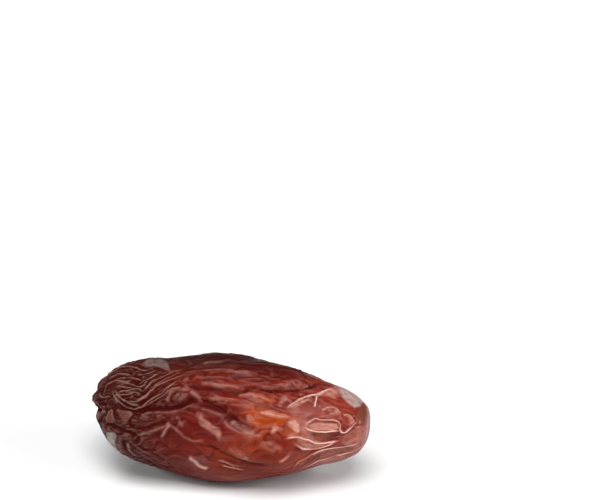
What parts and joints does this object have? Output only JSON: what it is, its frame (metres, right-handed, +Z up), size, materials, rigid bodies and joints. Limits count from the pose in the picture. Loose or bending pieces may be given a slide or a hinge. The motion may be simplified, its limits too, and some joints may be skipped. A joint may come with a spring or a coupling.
{
  "type": "dried date",
  "caption": "Whole dried date, plump and oblong, with a folded glossy skin, a knobbed stem end and a blunt tip, lying on its side.",
  "frame": {"origin": "on the surface it lies on, under the middle of the date's length and width", "axes": "+X from the stem end to the blunt tip along the date's length, -Y towards the side that shows best, +Z up"},
  "size_m": [0.0482, 0.0244, 0.0212],
  "materials": {
    "date_skin": "glossy wrinkled fruit skin, dark red brown with amber patches"
  },
  "bodies": {
    "root": {"date": "date_skin"}
  },
  "joints": []
}
